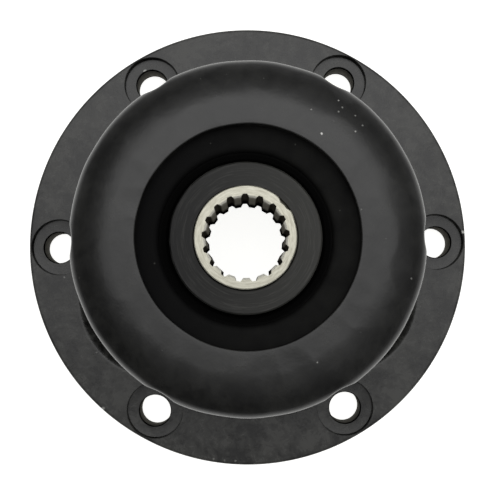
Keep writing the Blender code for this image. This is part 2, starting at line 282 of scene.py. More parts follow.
def waves(points: np.ndarray, length: float, seed: int, count: int = 24) -> np.ndarray:
    """A smooth unevenness: a sum of sine waves in random directions, scaled to a spread of about 1.

    Args:
        points: an array of places.
        length: the typical wavelength.
        seed: the start of the random numbers.
        count: the number of waves.

    Returns:
        One value for each place.
    """
    rng = np.random.default_rng(seed)
    direction = rng.normal(size=(count, 3))
    direction /= np.linalg.norm(direction, axis=1, keepdims=True)
    pitch = length * rng.uniform(0.7, 1.7, size=(count, 1))
    phase = rng.uniform(0.0, TURN, size=count)
    return np.sin(points @ (direction / pitch).T * TURN + phase).sum(axis=-1) * math.sqrt(2.0 / count)


def soft_least(a: np.ndarray, b: np.ndarray, round_off: float) -> np.ndarray:
    """The lesser of two values, with a parabola where they are within round_off of each other.

    Args:
        a: the first values.
        b: the second values.
        round_off: the width of the soft stretch.

    Returns:
        The softened minimum.
    """
    share = np.clip(0.5 + 0.5 * (b - a) / round_off, 0.0, 1.0)
    return b + (a - b) * share - round_off * share * (1.0 - share)


def grid_faces(rings: int, steps: int, closed: bool) -> np.ndarray:
    """The quads between the neighbours of a grid that runs round at every ring.

    Args:
        rings: the number of rings.
        steps: the number of points on each ring.
        closed: whether the last ring also meets the first.

    Returns:
        Four point numbers for each quad.
    """
    ring = np.arange(rings if closed else rings - 1)[:, None]
    step = np.arange(steps)[None, :]
    after, beside = (ring + 1) % rings, (step + 1) % steps
    corners = (ring * steps + step, ring * steps + beside, after * steps + beside, after * steps + step)
    return np.stack(np.broadcast_arrays(*corners), axis=-1).reshape(-1, 4)


def add_mesh(name: str, grids: list[np.ndarray], closed: bool) -> bpy.types.Object:
    """Makes an object from one or more grids of points, faces outwards.

    A grid's quads point outwards where the sum of their corners' triple products, six times the volume
    that they enclose, is positive. Otherwise each quad's corners are taken the other way round.

    Args:
        name: the object's name.
        grids: arrays of places, by ring, then by step round the ring.
        closed: whether the last ring of a grid meets its first. If not, each end gets a flat cap.

    Returns:
        The object, linked to the scene, with its place in its mesh.
    """
    points, faces, first = [], [], 0
    for grid in grids:
        rings, steps = grid.shape[:2]
        places = grid.reshape(-1, 3)
        quads = grid_faces(rings, steps, closed)
        low, high = places[quads[:, 0]] - places[0], places[quads[:, 2]] - places[0]
        across = places[quads[:, 1]] - places[quads[:, 3]]
        order = -1 if np.einsum("ij,ij->i", low, np.cross(across, high)).sum() < 0.0 else 1
        faces += (quads[:, ::order] + first).tolist()
        if not closed:
            front, back = np.arange(steps)[::-1], np.arange(steps) + (rings - 1) * steps
            faces += [(front[::order] + first).tolist(), (back[::order] + first).tolist()]
        points += places.tolist()
        first += len(places)
    mesh = bpy.data.meshes.new(name)
    mesh.from_pydata(points, [], faces)
    mesh.shade_smooth()
    mesh.set_sharp_from_angle(angle=math.radians(SHARP_ANGLE))
    piece = bpy.data.objects.new(name, mesh)
    bpy.context.scene.collection.objects.link(piece)
    return piece


def stand_in(piece: bpy.types.Object, node: Node, slot: Slot, *materials: bpy.types.Material) -> None:
    """Puts a finished piece in the place of a node.

    Args:
        piece: the finished piece.
        node: the node that it stands for.
        slot: the record's slot that its finish is for; not used.
        materials: its finishes, in the order of its faces' material numbers.
    """
    piece.data.materials.clear()
    for material in materials:
        piece.data.materials.append(material)
    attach(piece, "root")
    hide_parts(node.value)
    LOG.info("%s stands for %s with %d faces", piece.name, node.value, len(piece.data.polygons))


@dataclass(frozen=True)
class SatinPaint:
    """Satin black paint sprayed over a sand-cast skin.

    To the eye it is a near-black film that mirrors soft light weakly. It is clouded and wispy where the
    film is thick or thin, shows the grain of the sand under it and a little dust, is chipped to bare
    metal at a few edges, and has turned rings in the spot faces, which were machined before painting.
    """

    name: str = "satin_paint_on_casting"
    film: str = "#0e0e0d"
    thin_film: str = "#434340"
    # The film is cloudier on the flange than on the bowl, which is handled and wiped
    wiped_share: float = 0.2
    wiped_from: float = 14.0 * MM
    wiped_to: float = 30.0 * MM
    dust: str = "#f0f0ea"
    roughness: float = 0.26
    roughness_swing: float = 0.06
    cloud_size: float = 13.0 * MM
    wisp_size: float = 3.2 * MM
    wisp_weight: float = 0.8
    # The clouds and wisps together, at which the film starts to thin and at which it is thinnest
    thin_from: float = 0.7
    thin_to: float = 1.14
    skin_size: float = 3.2 * MM
    skin_height: float = 0.035 * MM
    grain_size: float = 0.9 * MM
    grain_height: float = 0.02 * MM
    dust_cell: float = 4.0 * MM
    dust_radius: float = 0.32 * MM
    dust_share: float = 0.35
    dust_strength: float = 0.05
    ring_pitch: float = 0.9 * MM
    ring_height: float = 0.012 * MM
    bolt_radius: float = 71.2 * MM
    bolt_count: int = 6
    bolt_turn: float = math.radians(0.8)
    spot_floor: float = 10.3 * MM
    spot_band: float = 0.2 * MM
    # Chips to bare metal at edges, then single specks of dust, all near white to the eye. Each has its
    # place and radius in mm and its strength, and their outlines stray by ragged
    ragged: float = 0.25 * MM
    marks: tuple[tuple[float, ...], ...] = (
        (-39.4, 67.0, 10.3, 0.9, 0.9),
        (81.5, 4.6, 13.0, 0.9, 0.9),
        (-12.8, -80.2, 12.9, 0.8, 0.35),
        (-8.7, -80.9, 12.9, 0.8, 0.35),
        (-4.6, -80.9, 12.9, 0.8, 0.4),
        (-54.1, -61.5, 13.3, 0.8, 0.35),
        (24.1, 33.8, 60.4, 0.5, 1.0),
        (29.9, 45.1, 59.0, 0.38, 0.5),
        (35.3, 34.6, 60.0, 0.38, 0.5),
        (22.4, -40.9, 60.3, 0.38, 0.4),
        (35.4, 40.0, 59.1, 0.38, 0.3),
        (31.1, 42.7, 59.3, 0.38, 0.3),
        (37.7, 36.7, 59.4, 0.38, 0.3),
        (29.8, 41.2, 59.8, 0.38, 0.3),
        (20.8, 41.8, 60.3, 0.38, 0.25),
        (-69.1, -12.4, 13.5, 0.4, 0.25),
        (-56.8, -40.6, 13.5, 0.4, 0.2),
        (53.5, -13.7, 58.6, 0.45, 0.18),
        (37.0, 8.8, 60.4, 0.4, 0.15),
    )

    def bolt_distance(self, tree: bpy.types.NodeTree, place: bpy.types.NodeSocket) -> bpy.types.NodeSocket:
        """The distance from the nearest bolt's axis, with the pattern's angles folded onto one bolt.

        By the law of cosines it is sqrt(r^2 + b^2 - 2 r b cos a) for a bolt radius b.

        Args:
            tree: the material's node tree.
            place: the place on the object.

        Returns:
            The distance in metres.
        """
        _, radius = from_axis(tree, place)
        x = add_node(tree, "SeparateXYZ", {0: place})
        angle = add_node(tree, "Math", {0: x.node.outputs["Y"], 1: x}, operation="ARCTAN2")
        pitch = TURN / self.bolt_count
        offset = add_node(tree, "Math", {0: angle, 1: self.bolt_turn}, operation="SUBTRACT")
        centred = add_node(tree, "Math", {0: offset, 1: pitch / 2, 2: -pitch / 2}, operation="WRAP")
        cosine = add_node(tree, "Math", {0: centred}, operation="COSINE")
        cross = add_node(tree, "Math", {0: radius, 1: cosine}, operation="MULTIPLY")
        inputs = {0: radius, 1: radius, 2: self.bolt_radius**2}
        square = add_node(tree, "Math", inputs, operation="MULTIPLY_ADD")
        inputs = {0: cross, 1: -2.0 * self.bolt_radius, 2: square}
        total = add_node(tree, "Math", inputs, operation="MULTIPLY_ADD")
        return add_node(tree, "Math", {0: total}, operation="SQRT")

    def film_patches(self, tree: bpy.types.NodeTree, place: bpy.types.NodeSocket) -> bpy.types.NodeSocket:
        """How thin the film is: broad clouds with wisps in them, less of both on the wiped bowl.

        Args:
            tree: the material's node tree.
            place: the place on the object.

        Returns:
            0 where the film is full and 1 where it is thinnest.
        """
        inputs = {"Vector": place, "Scale": 1.0 / self.cloud_size, "Detail": 6.0}
        cloud = add_node(tree, "TexNoise", inputs | {"Roughness": 0.6, "Distortion": 0.3})
        inputs = {"Vector": place, "Scale": 1.0 / self.wisp_size, "Detail": 5.0}
        wisp = add_node(tree, "TexNoise", inputs | {"Roughness": 0.7, "Distortion": 0.4})
        both = add_node(tree, "Math", {0: wisp, 1: self.wisp_weight, 2: cloud}, operation="MULTIPLY_ADD")
        inputs = {"Value": both, "From Min": self.thin_from, "From Max": self.thin_to}
        patches = add_node(tree, "MapRange", inputs, interpolation_type="SMOOTHSTEP")
        height = add_node(tree, "SeparateXYZ", {0: place}, "Z")
        inputs = {"Value": height, "From Min": self.wiped_from, "From Max": self.wiped_to}
        share = add_node(tree, "MapRange", inputs | {"To Min": 1.0, "To Max": self.wiped_share})
        return add_node(tree, "Math", {0: patches, 1: share}, operation="MULTIPLY")

    def dusting(self, tree: bpy.types.NodeTree, place: bpy.types.NodeSocket) -> bpy.types.NodeSocket:
        """Fine dust: a dot in some cells of a Voronoi pattern, picked by the cell's colour.

        Args:
            tree: the material's node tree.
            place: the place on the object.

        Returns:
            The dust's strength at each place.
        """
        cells = add_node(tree, "TexVoronoi", {"Vector": place, "Scale": 1.0 / self.dust_cell})
        pick = add_node(tree, "SeparateXYZ", {0: cells.node.outputs["Color"]})
        chosen = add_node(tree, "Math", {0: pick, 1: self.dust_share}, operation="LESS_THAN")
        reach = self.dust_radius / self.dust_cell
        inputs = {"Value": cells, "From Min": reach, "From Max": 0.4 * reach, "To Max": self.dust_strength}
        dot = add_node(tree, "MapRange", inputs)
        return add_node(tree, "Math", {0: chosen, 1: dot}, operation="MULTIPLY")

    def relief(self, tree: bpy.types.NodeTree, place: bpy.types.NodeSocket) -> bpy.types.NodeSocket:
        """The cast skin, the grain of the sand on it and, on the spot faces, the turned rings.

        The grain and the rings are drawn wider than real ones, which would be too fine to show.

        Args:
            tree: the material's node tree.
            place: the place on the object.

        Returns:
            The normal over all three.
        """
        skin = add_node(tree, "TexNoise", {"Vector": place, "Scale": 1.0 / self.skin_size, "Detail": 2.0})
        normal = add_node(tree, "Bump", {"Strength": 1.0, "Distance": self.skin_height, "Height": skin})
        inputs = {"Vector": place, "Scale": 1.0 / self.grain_size, "Detail": 3.0, "Roughness": 0.6}
        grain = add_node(tree, "TexNoise", inputs)
        inputs = {"Strength": 1.0, "Distance": self.grain_height, "Height": grain, "Normal": normal}
        normal = add_node(tree, "Bump", inputs)
        distance = self.bolt_distance(tree, place)
        inputs = {"W": distance, "Scale": 1.0 / self.ring_pitch, "Detail": 2.0}
        rings = add_node(tree, "TexNoise", inputs, noise_dimensions="1D")
        height = add_node(tree, "SeparateXYZ", {0: place}, "Z")
        inputs = {0: height, 1: self.spot_floor, 2: self.spot_band}
        floor = add_node(tree, "Math", inputs, operation="COMPARE")
        cut = add_node(tree, "Math", {0: floor, 1: rings}, operation="MULTIPLY")
        inputs = {"Strength": 1.0, "Distance": self.ring_height, "Height": cut, "Normal": normal}
        return add_node(tree, "Bump", inputs)

    def build(self) -> bpy.types.Material:
        """Makes the material.

        Returns:
            The material.
        """
        material, tree = new_tree(self.name)
        place = add_node(tree, "TexCoord", {}, "Object")
        thin = self.film_patches(tree, place)
        inputs = {0: thin, 1: self.roughness_swing, 2: self.roughness - self.roughness_swing / 2}
        rough = add_node(tree, "Math", inputs, operation="MULTIPLY_ADD")
        inputs = {0: thin, 6: linear(self.film), 7: linear(self.thin_film)}
        film = add_node(tree, "Mix", inputs, 2, data_type="RGBA")
        single = marked(tree, place, self.marks, self.ragged)
        light = add_node(tree, "Math", {0: self.dusting(tree, place), 1: single}, operation="MAXIMUM")
        colour = add_node(tree, "Mix", {0: light, 6: film, 7: linear(self.dust)}, 2, data_type="RGBA")
        inputs = {"Base Color": colour, "Roughness": rough, "Normal": self.relief(tree, place)}
        shader = add_node(tree, "BsdfPrincipled", inputs)
        add_node(tree, "OutputMaterial", {"Surface": shader})
        return material


@dataclass(frozen=True)
class BoreWallPaintedLight:
    """Matt paint in the bored holes, with painted light.

    To the eye it is a matt grey that mirrors nothing. The grey is a painted reflection of the light in the
    bore, and a dark line of painted shade lies at each end.
    """

    name: str = "bore_walls_painted_light"
    # Painted reflection: this grey and the lighter grey below it stand in for the light that the wall
    # reflects
    grey: str = "#484743"
    bare: str = "#787670"
    # Painted shade: the dark line at each end of a hole
    end_shade: str = "#080808"
    roughness: float = 0.9
    drift_size: float = 2.0 * MM
    line: float = 1.3 * MM
    depth: float = 10.3 * MM

    def build(self) -> bpy.types.Material:
        """Makes the material.

        Returns:
            The material.
        """
        material, tree = new_tree(self.name)
        place = add_node(tree, "TexCoord", {}, "Object")
        drift = add_node(tree, "TexNoise", {"Vector": place, "Scale": 1.0 / self.drift_size, "Detail": 4.0})
        inputs = {0: drift, 6: linear(self.grey), 7: linear(self.bare)}
        wall = add_node(tree, "Mix", inputs, 2, data_type="RGBA")
        # Painted shade within line of either end of the wall, painted reflection between them
        height = add_node(tree, "SeparateXYZ", {0: place}, "Z")
        inputs = {0: height, 1: self.depth / 2, 2: self.depth / 2 - self.line}
        middle = add_node(tree, "Math", inputs, operation="COMPARE")
        inputs = {0: middle, 6: linear(self.end_shade), 7: wall}
        colour = add_node(tree, "Mix", inputs, 2, data_type="RGBA")
        inputs = {"Base Color": colour, "Roughness": self.roughness, "Specular IOR Level": 0.0}
        shader = add_node(tree, "BsdfPrincipled", inputs)
        add_node(tree, "OutputMaterial", {"Surface": shader})
        return material


@dataclass(frozen=True)
class MouldedRubber:
    """Black rubber, moulded and bonded.

    To the eye it is matt and the darkest thing on the part, with a faint pale mottling and a few light
    crumbs.
    The mottling is painted stronger towards +X as painted light from that side, and the groove beside the
    hub is painted near black as painted shade.
    """

    name: str = "moulded_black_rubber"
    rubber: str = "#0b0b0c"
    # The pale mottling, painted stronger towards +X as painted light
    bloom_and_side_light: str = "#2a2a28"
    crumb: str = "#8a8a84"
    roughness: float = 0.7
    specular: float = 0.12
    bloom_size: float = 6.0 * MM
    # Painted light: the mottling is painted from none at -X to full at +X over twice this width
    side_light_half_width: float = 36.0 * MM
    # Painted shade in the groove beside the hub: inwards of these radii the rubber is painted near black,
    # and its roughness rises too
    hub_groove_shade_from: float = 30.0 * MM
    hub_groove_shade_to: float = 28.2 * MM
    hub_groove_shade: str = "#040404"
    grain_size: float = 0.7 * MM
    grain_height: float = 0.03 * MM
    # Crumbs: place and radius in mm, and strength
    ragged: float = 0.2 * MM
    marks: tuple[tuple[float, ...], ...] = (
        (-29.3, -23.8, 55.1, 0.38, 0.45),
        (-31.0, -8.6, 55.1, 0.35, 0.25),
        (15.8, 31.1, 55.1, 0.35, 0.25),
        (-12.5, 31.5, 55.1, 0.3, 0.2),
        (30.5, 9.0, 55.1, 0.3, 0.2),
    )

    def build(self) -> bpy.types.Material:
        """Makes the material.

        Returns:
            The material.
        """
        material, tree = new_tree(self.name)
        place = add_node(tree, "TexCoord", {}, "Object")
        bloom_and_side_light = add_node(tree, "TexNoise", {"Vector": place, "Scale": 1.0 / self.bloom_size, "Detail": 5.0})
        # Painted light: the mottling is painted stronger towards +X, where more light falls
        side = add_node(tree, "SeparateXYZ", {0: place})
        inputs = {"Value": side, "From Min": -self.side_light_half_width, "From Max": self.side_light_half_width}
        inputs = {0: bloom_and_side_light, 1: add_node(tree, "MapRange", inputs)}
        bloom_and_side_light = add_node(tree, "Math", inputs, operation="MULTIPLY")
        inputs = {0: bloom_and_side_light, 6: linear(self.rubber), 7: linear(self.bloom_and_side_light)}
        skin = add_node(tree, "Mix", inputs, 2, data_type="RGBA")
        crumbs = marked(tree, place, self.marks, self.ragged)
        colour = add_node(tree, "Mix", {0: crumbs, 6: skin, 7: linear(self.crumb)}, 2, data_type="RGBA")
        # Painted shade: near black in the groove beside the hub
        centred = add_node(tree, "VectorMath", {0: place, 1: HUB_CENTRE}, operation="SUBTRACT")
        _, radius = from_axis(tree, centred)
        inputs = {"Value": radius, "From Min": self.hub_groove_shade_from, "From Max": self.hub_groove_shade_to}
        beside = add_node(tree, "MapRange", inputs)
        colour = add_node(tree, "Mix", {0: beside, 6: colour, 7: linear(self.hub_groove_shade)}, 2, data_type="RGBA")
        inputs = {0: beside, 1: 1.0 - self.roughness, 2: self.roughness}
        rough = add_node(tree, "Math", inputs, operation="MULTIPLY_ADD")
        grain = add_node(tree, "TexNoise", {"Vector": place, "Scale": 1.0 / self.grain_size, "Detail": 2.0})
        normal = add_node(tree, "Bump", {"Strength": 1.0, "Distance": self.grain_height, "Height": grain})
        inputs = {"Base Color": colour, "Roughness": rough, "Specular IOR Level": self.specular}
        shader = add_node(tree, "BsdfPrincipled", inputs | {"Normal": normal})
        add_node(tree, "OutputMaterial", {"Surface": shader})
        return material


@dataclass(frozen=True)
class BlackenedSteel:
    """Turned steel under a black oxide.

    To the eye it is a smooth dark grey face, painted lighter towards +X as painted light from that side,
    with fine arc-shaped scratches round its axis. They are drawn wider than real ones, which would be too
    fine to show.
    """

    name: str = "blackened_turned_steel"
    oxide: str = "#121212"
    # Painted light: the lighter grey that the face is painted towards +X
    worn: str = "#3a3a37"
    scratched: str = "#8c8b86"
    roughness: float = 0.36
    specular: float = 0.22
    # Painted light: the face goes from dark at -X to light at +X over twice this width
    side_light_half_width: float = 25.0 * MM
    scratch_width: float = 0.5 * MM
    scratch_count: float = 2.5
    scratch_height: float = 0.008 * MM
    # The share of the noise above which a scratch shows, where it is full, and how light it gets
    scratch_from: float = 0.5
    scratch_to: float = 0.8
    scratch_light: float = 0.2

    def build(self) -> bpy.types.Material:
        """Makes the material.

        Returns:
            The material.
        """
        material, tree = new_tree(self.name)
        place = add_node(tree, "TexCoord", {}, "Object")
        place = add_node(tree, "VectorMath", {0: place, 1: HUB_CENTRE}, operation="SUBTRACT")
        # Painted light: lighter towards +X, where more light falls
        side = add_node(tree, "SeparateXYZ", {0: place})
        inputs = {"Value": side, "From Min": -self.side_light_half_width, "From Max": self.side_light_half_width}
        side_light_share = add_node(tree, "MapRange", inputs)
        inputs = {0: side_light_share, 6: linear(self.oxide), 7: linear(self.worn)}
        colour = add_node(tree, "Mix", inputs, 2, data_type="RGBA")
        curved, _ = drawn_round(tree, place, self.scratch_width, self.scratch_count)
        inputs = {"Vector": curved, "Scale": 1.0, "Detail": 4.0, "Roughness": 0.7}
        arcs = add_node(tree, "TexNoise", inputs)
        inputs = {"Value": arcs, "From Min": self.scratch_from, "From Max": self.scratch_to}
        fine = add_node(tree, "MapRange", inputs | {"To Max": self.scratch_light})
        colour = add_node(tree, "Mix", {0: fine, 6: colour, 7: linear(self.scratched)}, 2, data_type="RGBA")
        normal = add_node(tree, "Bump", {"Strength": 1.0, "Distance": self.scratch_height, "Height": arcs})
        inputs = {"Base Color": colour, "Roughness": self.roughness, "Specular IOR Level": self.specular}
        shader = add_node(tree, "BsdfPrincipled", inputs | {"Normal": normal})
        add_node(tree, "OutputMaterial", {"Surface": shader})
        return material


@dataclass(frozen=True)
class BroachedSteel:
    """Bare steel, turned on its face and broached inside.

    To the eye the face is the one bright thing on the part, warm light grey with fine arcs, and its lead-in
    is painted lighter still as a painted highlight. The bore behind them is dull and its light is painted
    on: grey on the lands, painted shade that is dark brown in the grooves and black towards the rear. The
    arcs are drawn wider than real turning marks, which are too fine to show.
    """

    name: str = "bare_broached_steel"
    clean: str = "#c0beb0"
    dull: str = "#9f9c8e"
    # Painted highlight: the lead-in's colour, lighter than the face
    lead: str = "#e4e2d6"
    land: str = "#918e84"
    # Painted shade: the grooves' colour
    groove: str = "#48443d"
    # Painted shade: the bore's colour towards the rear
    rear_shade: str = "#060605"
    roughness: float = 0.34
    arc_width: float = 0.5 * MM
    arc_count: float = 5.0
    # The noise at which the face starts to dull and at which it is dullest
    dull_from: float = 0.35
    dull_to: float = 0.7
    land_radius: float = 12.7 * MM
    # How far out of the lands the grooves' painted shade and the lead-in's painted highlight start and are
    # full
    groove_from: float = 0.5 * MM
    groove_to: float = 0.9 * MM
    lead_from: float = 0.45 * MM
    lead_to: float = 0.75 * MM
    bore_radius: float = 14.6 * MM
    bright_depth: float = 1.3 * MM
    face: float = 60.8 * MM
    face_skin: float = 0.02 * MM
    # The heights at which the painted shade towards the rear starts and is full
    rear_shade_from: float = 44.0 * MM
    rear_shade_to: float = 36.0 * MM

    def build(self) -> bpy.types.Material:
        """Makes the material.

        Returns:
            The material.
        """
        material, tree = new_tree(self.name)
        place = add_node(tree, "TexCoord", {}, "Object")
        place = add_node(tree, "VectorMath", {0: place, 1: HUB_CENTRE}, operation="SUBTRACT")
        curved, radius = drawn_round(tree, place, self.arc_width, self.arc_count)
        inputs = {"Vector": curved, "Scale": 1.0, "Detail": 4.0, "Roughness": 0.65}
        arcs = add_node(tree, "TexNoise", inputs)
        inputs = {"Value": arcs, "From Min": self.dull_from, "From Max": self.dull_to}
        inputs = {0: add_node(tree, "MapRange", inputs), 6: linear(self.clean), 7: linear(self.dull)}
        face = add_node(tree, "Mix", inputs, 2, data_type="RGBA")
        # Painted light in the bore: a painted highlight on the lead-in, painted shade in the grooves and
        # towards the rear
        beyond = add_node(tree, "Math", {0: radius, 1: self.land_radius}, operation="SUBTRACT")
        inputs = {"Value": beyond, "From Min": self.groove_from, "From Max": self.groove_to}
        inputs = {0: add_node(tree, "MapRange", inputs), 6: linear(self.land), 7: linear(self.groove)}
        bore = add_node(tree, "Mix", inputs, 2, data_type="RGBA")
        height = add_node(tree, "SeparateXYZ", {0: place}, "Z")
        inputs = {"Value": height, "From Min": self.rear_shade_from, "From Max": self.rear_shade_to}
        rear = add_node(tree, "MapRange", inputs)
        bore = add_node(tree, "Mix", {0: rear, 6: bore, 7: linear(self.rear_shade)}, 2, data_type="RGBA")
        deep = add_node(tree, "Math", {0: height, 1: self.face - self.bright_depth}, operation="LESS_THAN")
        within = add_node(tree, "Math", {0: radius, 1: self.bore_radius}, operation="LESS_THAN")
        sunk = add_node(tree, "Math", {0: height, 1: self.face - self.face_skin}, operation="LESS_THAN")
        inside = add_node(tree, "Math", {0: sunk, 1: within}, operation="MULTIPLY")
        inputs = {"Value": beyond, "From Min": self.lead_from, "From Max": self.lead_to}
        inputs = {0: add_node(tree, "MapRange", inputs), 6: linear(self.land), 7: linear(self.lead)}
        lead = add_node(tree, "Mix", inputs, 2, data_type="RGBA")
        bore = add_node(tree, "Mix", {0: deep, 6: lead, 7: bore}, 2, data_type="RGBA")
        bare = add_node(tree, "Math", {0: 1.0, 1: inside}, operation="SUBTRACT")
        colour = add_node(tree, "Mix", {0: inside, 6: face, 7: bore}, 2, data_type="RGBA")
        inputs = {"Base Color": colour, "Roughness": self.roughness, "Metallic": bare}
        shader = add_node(tree, "BsdfPrincipled", inputs | {"Specular IOR Level": 0.0})
        add_node(tree, "OutputMaterial", {"Surface": shader})
        return material


@dataclass(frozen=True)
class OpalFloor:
    """An opal white table, lit from below, so that no shadow falls on it."""

    name: str = "opal_table"
    white: str = "#f4f4f2"
    glow: float = 1.0

    def build(self) -> bpy.types.Material:
        """Makes the material.

        Returns:
            The material.
        """
        material, tree = new_tree(self.name)
        white = linear(self.white)
        inputs = {"Base Color": white, "Roughness": 0.6, "Emission Color": white}
        shader = add_node(tree, "BsdfPrincipled", inputs | {"Emission Strength": self.glow})
        add_node(tree, "OutputMaterial", {"Surface": shader})
        return material


@dataclass
class Casting:
    """The one-piece casting: flange, bowl and lip, six stepped bolt holes and three cast pockets."""

    flange_radius: float = 82.5 * MM
    flange_thickness: float = 13.5 * MM
    flange_edge: float = 0.8 * MM
    bolt_count: int = 6
    bolt_radius: float = 71.2 * MM
    bolt_turn: float = math.radians(0.8)
    hole_radius: float = 5.88 * MM
    hole_chamfer: float = 0.3 * MM
    hole_drift: float = 0.55 * MM
    hole_exit: float = 0.3 * MM
    # A face this close to a bolt's axis, and this far from the floor and the back, is a hole's wall
    bore_reach: float = 6.35 * MM
    bore_margin: float = 0.01 * MM
    spot_radius: float = 10.6 * MM
    spot_depth: float = 3.2 * MM
    spot_nose: float = 0.4 * MM
    socket_radius: float = 12.7 * MM
    socket_round: float = 0.9 * MM
    beyond_reach: float = 1.0
    rim_radius: float = 59.6 * MM
    crest_height: float = 60.4 * MM
    draft: float = math.radians(1.5)
    wall: float = 6.0 * MM
    root_fillet: float = 5.0 * MM
    dome_width: float = 15.0 * MM
    dome_drop: float = 6.0 * MM
    dome_edge: float = 3.6 * MM
    mouth_radius: float = 37.15 * MM
    mouth_edge: float = 0.4 * MM
    lip: float = 5.0 * MM
    cavity_corner: float = 5.0 * MM
    cavity_chamfer: float = 1.2 * MM
    pocket_turn: float = math.radians(90.8)
    pocket_centre: float = 39.4 * MM
    pocket_round: float = 30.0 * MM
    pocket_depth: float = 2.5 * MM
    pocket_half_span: float = math.radians(19.0)
    pocket_end: float = math.radians(4.5)
    # How each pocket's floor falls from its edge: its slope there, and how much steeper it gets in a mm
    pocket_slopes: tuple[tuple[float, float], ...] = ((0.06, 0.08), (0.15, 0.08), (0.07, 0.14))
    pocket_round_off: float = 0.8 * MM
    skin_height: float = 0.05 * MM
    skin_length: float = 16.0 * MM
    skin_seed: int = 3
    grid_step: float = 0.45 * MM
    steps: int = 640
    cutter_steps: int = 96

    @property
    def rim_height(self) -> float:
        """The height at which the bowl is widest, under its dome."""
        return self.crest_height - self.dome_drop

    def wall_radius(self, height: float) -> float:
        """The drafted wall's outer radius at a height."""
        return self.rim_radius + (self.rim_height - height) * math.tan(self.draft)

    def dome(self) -> np.ndarray:
        """The bowl's face outwards: flat, then a wide arc, then a tight arc that runs into the wall.

        The wide arc starts level, and both have the same direction where they meet. With w the width and
        d the drop from the flat's end to the tight arc's centre, its turn is 2 atan(d / w).

        Returns:
            Points of radius and height.
        """
        flat_end = self.rim_radius - self.dome_width
        run = self.dome_width - self.dome_edge
        slope = 2.0 * math.atan2(self.dome_drop - self.dome_edge, run)
        wide = self.dome_edge + run / math.sin(slope)
        turn = 90.0 - math.degrees(slope)
        edge = (self.rim_radius - self.dome_edge, self.rim_height)
        flat_start = self.mouth_radius + self.mouth_edge
        return joined(
            line((flat_start, self.crest_height), (flat_end, self.crest_height), 4),
            arc((flat_end, self.crest_height - wide), wide, 90.0, turn, 24),
            arc(edge, self.dome_edge, turn, 0.0, 16),
        )

    def bowl_path(self) -> np.ndarray:
        """The bowl's outside from the mouth's edge over the dome and down the wall to the root fillet.

        Returns:
            Points of radius and height.
        """
        top = self.flange_thickness
        edge = (self.mouth_radius + self.mouth_edge, self.crest_height - self.mouth_edge)
        root_top = top + self.root_fillet
        root = (self.wall_radius(root_top) + self.root_fillet, root_top)
        return joined(
            arc(edge, self.mouth_edge, 180.0, 90.0, 8),
            self.dome(),
            line((self.rim_radius, self.rim_height), (self.wall_radius(root_top), root_top), 6),
            arc(root, self.root_fillet, 180.0, 270.0, 12),
        )

    def flange_path(self) -> np.ndarray:
        """The flange from the root fillet out, round its edges, and back in to the cavity.

        Returns:
            Points of radius and height.
        """
        outer = self.flange_radius - self.flange_edge
        inner = self.wall_radius(0.0) - self.wall
        start = self.wall_radius(self.flange_thickness + self.root_fillet) + self.root_fillet
        count = math.ceil((outer - start) / self.grid_step)
        return joined(
            line((start, self.flange_thickness), (outer, self.flange_thickness), count),
            arc((outer, self.flange_thickness - self.flange_edge), self.flange_edge, 90.0, 0.0, 6),
            np.array(((self.flange_radius, self.flange_edge),)),
            arc((outer, self.flange_edge), self.flange_edge, 0.0, -90.0, 6),
            line((outer, 0.0), (inner + self.cavity_chamfer, 0.0), 3),
            np.array(((inner, self.cavity_chamfer),)),
        )

    def cavity_path(self) -> np.ndarray:
        """The bowl's inside from the cavity's mouth up the wall, round the corner and in under the lip.

        Returns:
            Points of radius and height.
        """
        under = self.crest_height - self.lip
        inner = self.wall_radius(under) - self.wall
        corner = (inner - self.cavity_corner, under - self.cavity_corner)
        round_over = arc(corner, self.cavity_corner, math.degrees(self.draft), 90.0, 10)
        foot = (self.wall_radius(0.0) - self.wall, self.cavity_chamfer)
        lip = np.array(((self.mouth_radius, under),))
        return joined(line(foot, tuple(round_over[0]), 3), round_over, lip)

    def pocket_drop(self, radius: np.ndarray, angle: np.ndarray) -> np.ndarray:
        """How far the cast pockets lower the flange's top.

        A pocket's outer edge is a circle of radius p whose centre lies c from the axis, so a ray a off
        the pocket's middle meets it at c cos a + sqrt(p^2 - c^2 sin^2 a). At a depth d inside that edge
        the floor is s d + q d^2 lower, but no lower than the pocket's full depth. It fades at both ends.

        Args:
            radius: distances from the axis.
            angle: angles about the axis.

        Returns:
            The drop at each place.
        """
        drop = np.zeros(np.broadcast(radius, angle).shape)
        pitch = TURN / len(self.pocket_slopes)
        for index, (slope, bend) in enumerate(self.pocket_slopes):
            off = (angle - self.pocket_turn - index * pitch + math.pi) % TURN - math.pi
            off = np.clip(off, -self.pocket_half_span, self.pocket_half_span)
            cross = np.sqrt(self.pocket_round**2 - (self.pocket_centre * np.sin(off)) ** 2)
            depth = np.maximum(self.pocket_centre * np.cos(off) + cross - radius, 0.0)
            fall = slope * depth + bend / MM * depth**2
            full = np.full(fall.shape, self.pocket_depth)
            share = np.clip((self.pocket_half_span - np.abs(off)) / self.pocket_end, 0.0, 1.0)
            fade = share * share * (3.0 - 2.0 * share)
            drop += fade * np.maximum(soft_least(fall, full, self.pocket_round_off), 0.0)
        return drop

    def socket_reach(self, angle: np.ndarray) -> np.ndarray:
        """How far out a ray from the axis runs before it enters the socket clearance of a bolt.

        With the ray d off the bolt's direction, that is b cos d - sqrt(s^2 - b^2 sin^2 d), for a bolt
        radius b and a socket radius s, and far away where the ray misses the socket.

        Args:
            angle: the ray's angles.

        Returns:
            The radius for each ray.
        """
        pitch = TURN / self.bolt_count
        off = (angle - self.bolt_turn + pitch / 2) % pitch - pitch / 2
        inside = self.socket_radius**2 - (self.bolt_radius * np.sin(off)) ** 2
        reach = self.bolt_radius * np.cos(off) - np.sqrt(np.maximum(inside, 0.0))
        return np.where(inside > 0.0, reach, self.beyond_reach)

